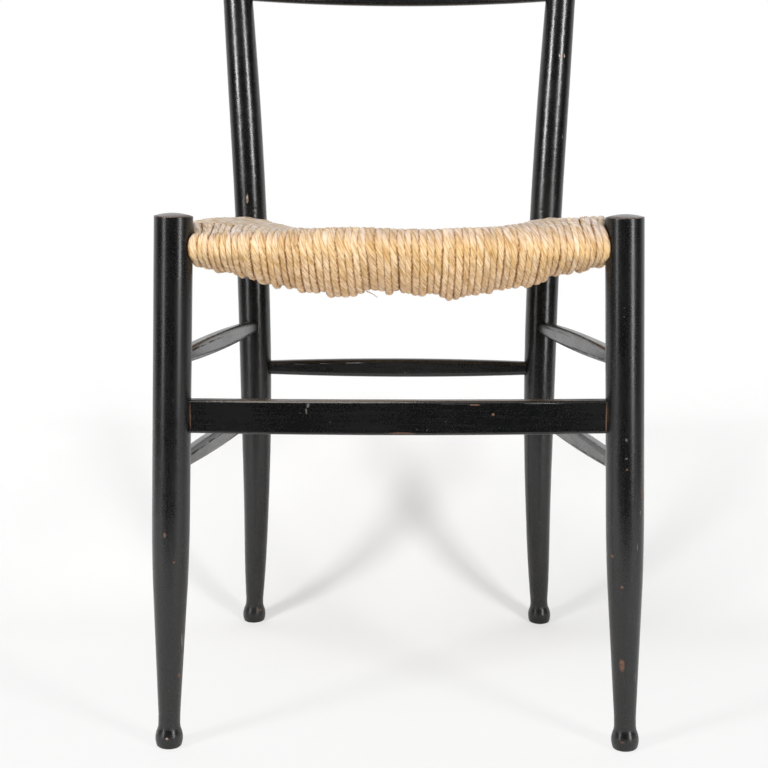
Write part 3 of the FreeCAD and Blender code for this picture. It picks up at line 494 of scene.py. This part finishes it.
def wound_line(reach, form, inset, steps):
    """Line of each cord across its rail, in (across, up) from the rail's axis.

    Five runs joined end to end: from the seam on top to the rail, a quarter round over
    its outside, down round it to where the cord leaves it, a wider arc to the lowest
    point of the belly, and an arc that climbs to the seam below.
    """
    radius, top = round_side - inset, round_top - inset
    belly = form["belly"][:, None] - inset
    leave = np.radians(form["leave"])[:, None]
    reach = reach[:, None]
    each = np.zeros_like(reach)  # gives a run that all cords share a row for each of them
    end_top = form["end_top"][:, None] - inset
    end_bottom = form["end_bottom"][:, None] + inset
    sag = (belly - radius * np.sin(leave)) / (1 - np.sin(leave))
    lowest = (sag - radius) * np.cos(leave)
    rise = end_bottom + belly
    climb_radius = ((reach - lowest) ** 2 + rise ** 2) / (2 * rise)
    climb = np.arcsin(np.clip((reach - lowest) / climb_radius, 0, 1))
    runs = []
    t = np.linspace(0, 1, steps[0], endpoint=False)[None, :]
    swell = form["crown"][:, None] * 4 * t * (1 - t)
    runs.append((reach * (1 - t), mixed(t, end_top, top) + swell))
    t = np.linspace(0, 1, steps[1], endpoint=False)[None, :] * np.pi / 2
    runs.append((-radius * np.sin(t) + each, top * np.cos(t) + each))
    t = np.linspace(0, 1, steps[2], endpoint=False)[None, :] * leave
    runs.append((-radius * np.cos(t), -radius * np.sin(t)))
    t = mixed(np.linspace(0, 1, steps[3], endpoint=False)[None, :], leave, np.pi / 2)
    runs.append((lowest - sag * np.cos(t), sag * (1 - np.sin(t)) - belly))
    t = np.linspace(0, 1, steps[4])[None, :] * climb
    runs.append((lowest + climb_radius * np.sin(t), climb_radius * (1 - np.cos(t)) - belly))
    return [np.concatenate(parts, axis=1) for parts in zip(*runs)]


def field_line(where, shares, inset, steps, rng=None):
    """Centre lines of cords at shares along a rail, how far they reach inward, and which way.

    The more a cord sags, the earlier it leaves the rail, from 80 to 30 degrees round it.
    With rng its belly varies by a millimetre or two.
    """
    field = seat_fields[where]
    start, end = np.array(field["start"]), np.array(field["end"])
    inward = np.array(field["inward"], float)
    points = start + (end - start) * shares[:, None]
    reach = seam_reach(points, inward, field_seams(where))
    top, bottom = seam_heights(points[:, 1] + inward[1] * reach)
    share = np.interp(shares, *(worn_belly if where == "front" else even_belly))
    form = {
        "belly": mixed(share, round_under, field["belly"]),
        "leave": mixed(share, 80, 30),
        "end_top": top - points[:, 2],
        "end_bottom": bottom - points[:, 2],
        "crown": field["crown"] * reach / crown_reach,
    }
    if rng is not None:
        form["belly"] = form["belly"] + rng.normal(0, 0.0018, len(shares)) * mixed(share, 0.7, 1)
    across, up = wound_line(reach, form, inset, steps)
    places = points[:, None, :] + inward * across[..., None]
    places[..., 2] += up
    return places, reach, inward


def clear_of_legs(places, where, room):
    """Points of cords that lie in a leg, or too near it, are pressed along the rail.

    At each height a leg is a circle in plan, widened by the room, and a point inside it
    moves to the circle: half a chord from the axis, the chord at the point's own offset.
    """
    rows = (where,) if where in legs else ("front", "back")
    for side in {"left": (-1,), "right": (1,)}.get(where, (-1, 1)):
        for row in rows:
            leg = legs[row]
            below = rail_level - places[..., 2]
            leg_x = side * (leg["x"] + below * leg["splay"])
            leg_y = leg["y"] + below * leg["rake"]
            limit = leg["radius"] + room
            # which axis the rail runs along, and which way along it leads off this leg
            if where in legs:
                axis, off, middle, inner = 0, places[..., 1] - leg_y, leg_x, -side
            else:
                axis, off, middle = 1, places[..., 0] - leg_x, leg_y
                inner = 1 if row == "front" else -1
            bound = middle + inner * np.sqrt(np.maximum(limit ** 2 - off ** 2, 0))
            inside = (np.abs(off) < limit) & (inner * places[..., axis] < inner * bound)
            places[..., axis] = np.where(inside, bound, places[..., axis])
    return places


def grid_faces(rows, columns):
    """Quads between the points of a grid, row after row."""
    cells = np.arange(rows * columns).reshape(rows, columns)
    quads = [cells[:-1, :-1], cells[:-1, 1:], cells[1:, 1:], cells[1:, :-1]]
    return np.stack(quads, axis=-1).reshape(-1, 4).tolist()


def tube_mesh(name, lines, wide, deep, lateral, twist, tints):
    """Tubes along lines: rings of an ellipse, wide along the rail and deep across it.

    A slow turn of two slight lobes round each tube is the twist of its two strands. The
    UV map holds metres along the tube and the share of a turn round it, from its inside.
    """
    cords, count, _ = lines.shape
    sides, lobe, strand_pitch = 10, 0.05, 0.05
    along = np.gradient(lines, axis=1)
    along /= np.linalg.norm(along, axis=2, keepdims=True)
    outward = np.cross(along, lateral)
    outward /= np.linalg.norm(outward, axis=2, keepdims=True)
    across = np.cross(outward, along)
    step = np.linalg.norm(np.diff(lines, axis=1), axis=2)
    run = np.concatenate([np.zeros((cords, 1)), np.cumsum(step, axis=1)], axis=1)
    angle = np.linspace(0, 2 * np.pi, sides + 1)[:-1] + np.pi
    wound = 2 * np.pi * (run / strand_pitch)[..., None] * 2
    lobes = 1 + lobe * np.cos(2 * angle[None, None, :] - wound + twist[:, None, None])
    ring = lines[:, :, None, :] \
        + outward[:, :, None, :] * (deep[..., None] * lobes * np.cos(angle))[..., None] \
        + across[:, :, None, :] * (wide[..., None] * lobes * np.sin(angle))[..., None]
    index = np.arange(cords * count * sides).reshape(cords, count, sides)
    a, b = index[:, :-1, :], index[:, 1:, :]
    quads = np.stack([a, b, np.roll(b, -1, axis=2), np.roll(a, -1, axis=2)], axis=-1)
    caps = np.concatenate([index[:, 0, :], index[:, -1, ::-1].reshape(-1, sides)])
    mesh = bpy.data.meshes.new(name)
    mesh.from_pydata(ring.reshape(-1, 3).tolist(), [],
                     quads.reshape(-1, 4).tolist() + caps.tolist())
    mesh.update()
    turn = np.arange(sides) / sides
    v = np.stack([turn, turn, turn + 1 / sides, turn + 1 / sides], axis=-1)
    v = np.broadcast_to(v, (cords, count - 1, sides, 4))
    u = np.stack([run[:, :-1], run[:, 1:], run[:, 1:], run[:, :-1]], axis=-1)
    u = np.broadcast_to(u[:, :, None, :], v.shape)
    uv = np.stack([u, v], axis=-1).reshape(-1, 2)
    uv = np.concatenate([uv, np.zeros((caps.size, 2))])
    layer = mesh.uv_layers.new(name="along_cord")
    layer.data.foreach_set("uv", uv.ravel().astype(np.float32))
    colour = mesh.color_attributes.new("tint", "FLOAT_COLOR", "POINT")
    rgba = np.ones((cords, count, sides, 4), np.float32)
    rgba[..., :3] = tints[:, :, None, :]
    colour.data.foreach_set("color", rgba.ravel())
    number = mesh.attributes.new("cord_number", "FLOAT", "POINT")
    ids = np.broadcast_to(np.arange(cords)[:, None, None], (cords, count, sides))
    number.data.foreach_set("value", ids.ravel().astype(np.float32))
    mesh.polygons.foreach_set("use_smooth", [True] * len(mesh.polygons))
    return mesh


def cord_noise(tree, around, along, number, detail, roughness=0.5):
    """Noise laid on the cords: by the way round one, the way along it and its number."""
    place = node(tree, "ShaderNodeCombineXYZ", enumerate((around, along, number))).outputs[0]
    return node(tree, "ShaderNodeTexNoise", [("Vector", place), ("Scale", 1.0),
                                             ("Detail", detail),
                                             ("Roughness", roughness)]).outputs[0]


def stained(tree, colour, stain):
    """A colour multiplied by a stain."""
    return node(tree, "ShaderNodeMix", [(0, 1.0), (6, colour), (7, stain)],
                data_type="RGBA", blend_type="MULTIPLY").outputs[2]


rush, tree, shader = new_material("rush_cord")
shader.inputs["Specular IOR Level"].default_value = 0.28
tint = node(tree, "ShaderNodeAttribute", attribute_name="tint").outputs["Color"]
number = node(tree, "ShaderNodeAttribute", attribute_name="cord_number").outputs["Fac"]
uv = node(tree, "ShaderNodeUVMap", uv_map="along_cord").outputs[0]
run, turn = node(tree, "ShaderNodeSeparateXYZ", [(0, uv)]).outputs[:2]
# two strands wind round each other, a full turn of both in 50 mm
wind = plus(tree, times(tree, turn, 2.0), times(tree, run, -40.0))
strand = sums(tree, "ABSOLUTE", sums(tree, "SINE", times(tree, wind, math.pi)))
groove = grown(tree, strand, 0.0, 0.42)
# fibres lie along the strands, and broad leaves show by their own shade
around = plus(tree, times(tree, turn, 19.0), times(tree, run, -340.0))
fibres = cord_noise(tree, around, times(tree, run, 85.0), times(tree, number, 3.7), 5.0, 0.65)
leaves = cord_noise(tree, times(tree, wind, 2.2), times(tree, run, 24.0),
                    times(tree, number, 1.9), 2.0)
leaf_stain = blended(tree, grown(tree, leaves, 0.34, 0.66), *leaf_tones)
fibre_stain = blended(tree, grown(tree, fibres, 0.36, 0.58), *fibre_tones)
colour = stained(tree, stained(tree, tint, leaf_stain), fibre_stain)
# painted shade in the grooves between the two strands
between = times(tree, sums(tree, "SUBTRACT", 1.0, groove), 0.2)
colour = blended(tree, between, colour, groove_shade_brown)
# painted shade towards the neighbouring cords, deeper at nicks where the leaves fold over each
# other
aside = sums(tree, "ABSOLUTE", sums(tree, "SUBTRACT", turn, 0.5))
nicks = cord_noise(tree, times(tree, turn, 2.0), times(tree, run, 330.0),
                   times(tree, number, 5.3), 2.0)
pinch_shade_mask = times(tree, grown(tree, aside, 0.08, 0.145), grown(tree, nicks, 0.4, 0.62, 0.12, 0.85))
colour = blended(tree, pinch_shade_mask, colour, pinch_shade_brown)
tree.links.new(colour, shader.inputs["Base Color"])
tree.links.new(grown(tree, fibres, 0.3, 0.7, 0.62, 0.46), shader.inputs["Roughness"])
height = plus(tree, groove, times(tree, fibres, 0.8))
bump = node(tree, "ShaderNodeBump", [("Strength", 0.6), ("Distance", 0.0005), ("Height", height)])
tree.links.new(bump.outputs[0], shader.inputs["Normal"])

shade_lining = matt("inner_cords_painted_shade", *inner_shade_tones, scale=400, stretch=(1, 1, 1), roughness=0.9)

# points of a cord on each of its five runs, and of the sheet that lies under the cords
cord_steps, sheet_steps = (34, 14, 5, 14, 32), (12, 8, 3, 8, 12)
# how many lines the sheet has, how deep it lies, the share of the rail that it leaves free
# at each end, and its room round the legs
sheet_lines, sheet_inset, sheet_margin, sheet_room = 28, 0.0046, 0.004, 0.001

# how cords stray: sideways and up and down, away from the legs round the outside and on
# top, and down over their last few points, less where they reach less far inward
wander, bob, lean_outside, lean_inboard = 0.0005, 0.0003, 0.0014, 0.002
dive_depth, dive_points, full_dive_reach = 0.006, 3, 0.06

# where a point of the cord lies round the rail: 0 on top, 1 outside, 2 underneath
marks_round = np.concatenate([np.zeros(cord_steps[0]), np.linspace(0, 1, cord_steps[1]),
                              np.linspace(1, 1.35, cord_steps[2]),
                              np.linspace(1.35, 2, cord_steps[3]),
                              np.full(cord_steps[4], 2.0)])
count = len(marks_round)
# the shares of the two leans: most on the outside of the rail, and on top most at the seam
outside = np.exp(-((marks_round - 1.0) / 0.55) ** 2)
inboard = np.zeros(count)
inboard[:cord_steps[0]] = np.linspace(1, 0, cord_steps[0])

for where, field in seat_fields.items():
    rng = np.random.default_rng(field["seed"])
    cords = field["cords"]
    length = np.linalg.norm(np.subtract(field["end"], field["start"]))
    # the cords are packed closer towards the legs, and none is spaced quite like the next
    first = (beside_axis + cord_wide) / length
    last = 1 - first
    gaps = 0.84 + 0.26 * np.sin(np.linspace(0, np.pi, cords - 1)) + rng.normal(0, 0.1, cords - 1)
    shares = np.concatenate([[0], np.cumsum(gaps)])
    shares = first + (last - first) * shares / shares[-1]
    lines, reach, inward = field_line(where, shares, cord_deep, cord_steps, rng)
    along_rail = np.subtract(field["end"], field["start"]) / length
    lateral = np.cross(inward, (0, 0, 1.0))

    # each cord wanders and leans along the rail, and the last ones lean away from the leg
    shift = drift(rng, cords, count, 3) * wander
    if where == "front":
        lean = np.array([np.interp(shares, lean_shares, row) for row in leans]).T * 0.001
        knots = [np.interp(marks_round, lean_marks, row) for row in lean]
        shift += np.array([np.convolve(np.pad(row, 4, "edge"), np.ones(9) / 9, "valid")
                           for row in knots])
    beside_leg = np.exp(-np.arange(cords) / 2.5)
    beside_leg = (beside_leg[::-1] - beside_leg)[:, None]
    shift += beside_leg * outside[None, :] * lean_outside
    shift += beside_leg * inboard[None, :] * lean_inboard
    lines += along_rail * shift[..., None]
    lines[..., 2] += drift(rng, cords, count, 4) * bob
    lift = np.interp(shares, *worn_top[where])[:, None] * 0.001
    lines[..., 2] += lift * np.cos(np.clip(marks_round, 0, 1) * np.pi / 2)[None, :] ** 2

    # the ends dive between the cords of the next field, the short cords' ends less deep
    dive = np.clip(1 - np.arange(count) / dive_points, 0, 1) ** 1.5 * dive_depth
    lines[..., 2] += (dive[::-1] - dive) * np.clip(reach / full_dive_reach, 0.25, 1)[:, None]
    lines = clear_of_legs(lines, where, cord_deep * 0.9)

    # pressed flat against each other over the rail, and looser underneath: each is wider
    # than its share of the rail, and laps over its neighbours
    close = np.interp(marks_round, (0, 1, 1.5, 2), (1.34, 1.36, 1.17, 1.12))
    wide = (np.gradient(shares) * length / 2)[:, None] * close[None, :]
    wide = wide * (1 + 0.07 * drift(rng, cords, count, 5))
    deep = cord_deep * (1 + 0.06 * drift(rng, cords, count, 5))

    # each cord has a shade of its own, which drifts along it
    own = rng.normal(0, 1, (cords, 1, 1))
    slow = drift(rng, cords, count, 4)[..., None]
    # the tint round the rail, with its painted shade and painted bounce light
    base = np.stack([np.interp(marks_round, tint_marks, row) for row in rush_tints_and_painted_light], axis=-1)
    tints = base[None] * (1 + 0.035 * own + 0.04 * slow)
    tints = np.clip(mixed(np.clip(own * 0.2, 0, 0.45), tints, pale_rush), 0, 0.95)
    twist = rng.uniform(0, 2 * np.pi, cords)
    mesh = tube_mesh(f"rush_{where}_field", lines, wide, deep, lateral, twist, tints)
    mesh.materials.append(rush)
    piece = placed(f"rush_{where}_field", mesh)
    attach(piece, "root")
    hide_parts("rush_seat")

    # the layer of older cord ends and leaves under the cords, dark as painted shade where it
    # shows between them
    sheet_shares = np.linspace(first + sheet_margin, last - sheet_margin, sheet_lines)
    sheet, _, _ = field_line(where, sheet_shares, sheet_inset, sheet_steps)
    sheet = clear_of_legs(sheet, where, sheet_room)
    inner = bpy.data.meshes.new(f"rush_{where}_lining")
    inner.from_pydata(sheet.reshape(-1, 3).tolist(), [], grid_faces(*sheet.shape[:2]))
    inner.update()
    inner.materials.append(shade_lining)
    backing = placed(f"rush_{where}_lining", inner)
    # at the corners the sheet runs out to nothing, and its last points are made one
    weld = backing.modifiers.new("weld", "WELD")
    weld.merge_threshold = 0.00005
    wall = backing.modifiers.new("thickness", "SOLIDIFY")
    wall.thickness = 0.0006
    wall.offset = 0
    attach(backing, "root")


# Loose fibres: ends of rush that have worked out of the twist, one hanging from the
# belly in front and a few finer ones along the rail.

rng = np.random.default_rng(23)
fine_ones, points_each = 9, 8
hanging_radius, fine_radius = 0.00042, 0.00018
stray_brown = np.array((0.34, 0.23, 0.14))
root_x, root_z = rng.uniform(-0.15, 0.15, fine_ones), rng.uniform(0.44, 0.458, fine_ones)
tip_x, tip_z = rng.uniform(-0.005, 0.005, fine_ones), rng.uniform(-0.005, 0.004, fine_ones)
roots = np.array([(-0.0276, leg_line + 0.018, 0.4078)]
                 + [(x, leg_line - 0.0125, z) for x, z in zip(root_x, root_z)])
tips = roots + np.array([(0.0095, -0.010, -0.0040)]
                        + [(x, -0.004, z) for x, z in zip(tip_x, tip_z)])
t = np.linspace(0, 1, points_each)[None, :, None]
droop = np.array((0, 0, 1.0)) * np.sin(t * np.pi) * 0.0008
strays = roots[:, None, :] * (1 - t) + tips[:, None, :] * t + droop
thin = np.concatenate([[hanging_radius], np.full(fine_ones, fine_radius)])[:, None] \
    * np.linspace(1, 0.5, points_each)[None, :]
tints = np.broadcast_to(stray_brown, (fine_ones + 1, points_each, 3))
mesh = tube_mesh("rush_loose_fibres", strays, thin, thin, np.array((0, 1.0, 0.3)),
                 np.zeros(fine_ones + 1), tints)
mesh.materials.append(rush)
piece = placed("rush_loose_fibres", mesh)
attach(piece, "root")


# Studio: a sheet of white paper that sweeps up in a tight curve right behind the chair, a
# bright backdrop over it and a dim room in front, lit by a tall soft box from each side.

def direct(tree):
    """1 for what is seen straight on or through glass, 0 for light on the object."""
    path = node(tree, "ShaderNodeLightPath")
    return sums(tree, "MAXIMUM", path.outputs["Is Camera Ray"],
                path.outputs["Is Transmission Ray"])


world = bpy.data.worlds.new("surround")
bpy.context.scene.world = world
world.use_nodes = True
tree = world.node_tree
toward = node(tree, "ShaderNodeTexCoord").outputs["Generated"]
toward = node(tree, "ShaderNodeSeparateXYZ", [(0, toward)]).outputs[1]
glow = sums(tree, "MAXIMUM", direct(tree), grown(tree, toward, -0.15, 0.6, 0.02, 1.0))
background = tree.nodes["Background"]
background.inputs["Color"].default_value = (1, 1, 1, 1)
tree.links.new(glow, background.inputs["Strength"])

# the sheet lies flat to just behind the posts, then bends up round a curve
sweep_radius, half_width, flat_start, flat_end, bend_start = 0.28, 1.3, -0.8, 0.09, 0.105
flat = np.linspace(flat_start, flat_end, 12)
bend = np.radians(np.linspace(0, 85, 44))
sweep_y = np.concatenate([flat, bend_start + sweep_radius * np.sin(bend)])
sweep_z = np.concatenate([np.zeros(len(flat)), sweep_radius * (1 - np.cos(bend))])
sweep_x = np.linspace(-half_width, half_width, 3)
points = [(x, y, z) for y, z in zip(sweep_y, sweep_z) for x in sweep_x]
ground = bpy.data.meshes.new("floor")
ground.from_pydata(points, [], grid_faces(len(sweep_y), len(sweep_x)))
ground.polygons.foreach_set("use_smooth", [True] * len(ground.polygons))
floor = placed("floor", ground)
paper, tree, shader = new_material("floor_paper")
shader.inputs["Base Color"].default_value = (0.93, 0.93, 0.93, 1)
shader.inputs["Roughness"].default_value = 0.9
shader.inputs["Specular IOR Level"].default_value = 0.1
place = node(tree, "ShaderNodeTexCoord").outputs["Object"]
away = node(tree, "ShaderNodeVectorMath", [(0, place)], operation="LENGTH").outputs["Value"]
_, back, height = node(tree, "ShaderNodeSeparateXYZ", [(0, place)]).outputs
# the paper shows its own shade near the chair, and plain white further off and higher up
near = sums(tree, "MAXIMUM", grown(tree, back, -0.1, 0.15, 0.82, 0.46),
            grown(tree, away, 0.45, 0.78, 0.0, 1.0))
share = sums(tree, "MAXIMUM", times(tree, near, direct(tree)),
             grown(tree, height, 0.07, 0.25, 0.0, 1.0))
level = sums(tree, "MAXIMUM", grown(tree, away, 0.4, 0.78, 0.93, 1.0),
             grown(tree, height, 0, 0.2))
white = node(tree, "ShaderNodeEmission", [("Color", (1, 1, 1, 1)), ("Strength", level)])
front_face = node(tree, "ShaderNodeMixShader",
                  [(0, share), (1, shader.outputs[0]), (2, white.outputs[0])])
# from below it can be seen through
behind = node(tree, "ShaderNodeNewGeometry").outputs["Backfacing"]
clear = node(tree, "ShaderNodeBsdfTransparent").outputs[0]
both = node(tree, "ShaderNodeMixShader", [(0, behind), (1, front_face.outputs[0]), (2, clear)])
tree.links.new(both.outputs[0], tree.nodes["Material Output"].inputs["Surface"])
floor.data.materials.append(paper)


def soft_light(name, place, aim, width, height, power):
    """Rectangular soft box, turned to face the point at the height aim over the origin."""
    lamp = bpy.data.lights.new(name, "AREA")
    lamp.shape = "RECTANGLE"
    lamp.size = width
    lamp.size_y = height
    lamp.energy = power
    box = placed(name, lamp)
    box.location = place
    toward = Vector((0, 0, aim)) - Vector(place)
    box.rotation_euler = toward.to_track_quat("-Z", "Y").to_euler()


soft_light("overhead_box", (-0.5, -1.3, 2.5), aim=0.4, width=1.6, height=1.2, power=18)
soft_light("right_box", (1.5, -1.75, 1.32), aim=0.6, width=0.46, height=0.84, power=34)
soft_light("right_reflector", (1.47, -1.72, 0.26), aim=0.3, width=0.42, height=0.52, power=8)
soft_light("left_box", (-1.78, -1.6, 1.32), aim=0.6, width=0.46, height=0.84, power=41)
soft_light("left_reflector", (-1.75, -1.57, 0.26), aim=0.3, width=0.42, height=0.52, power=4)
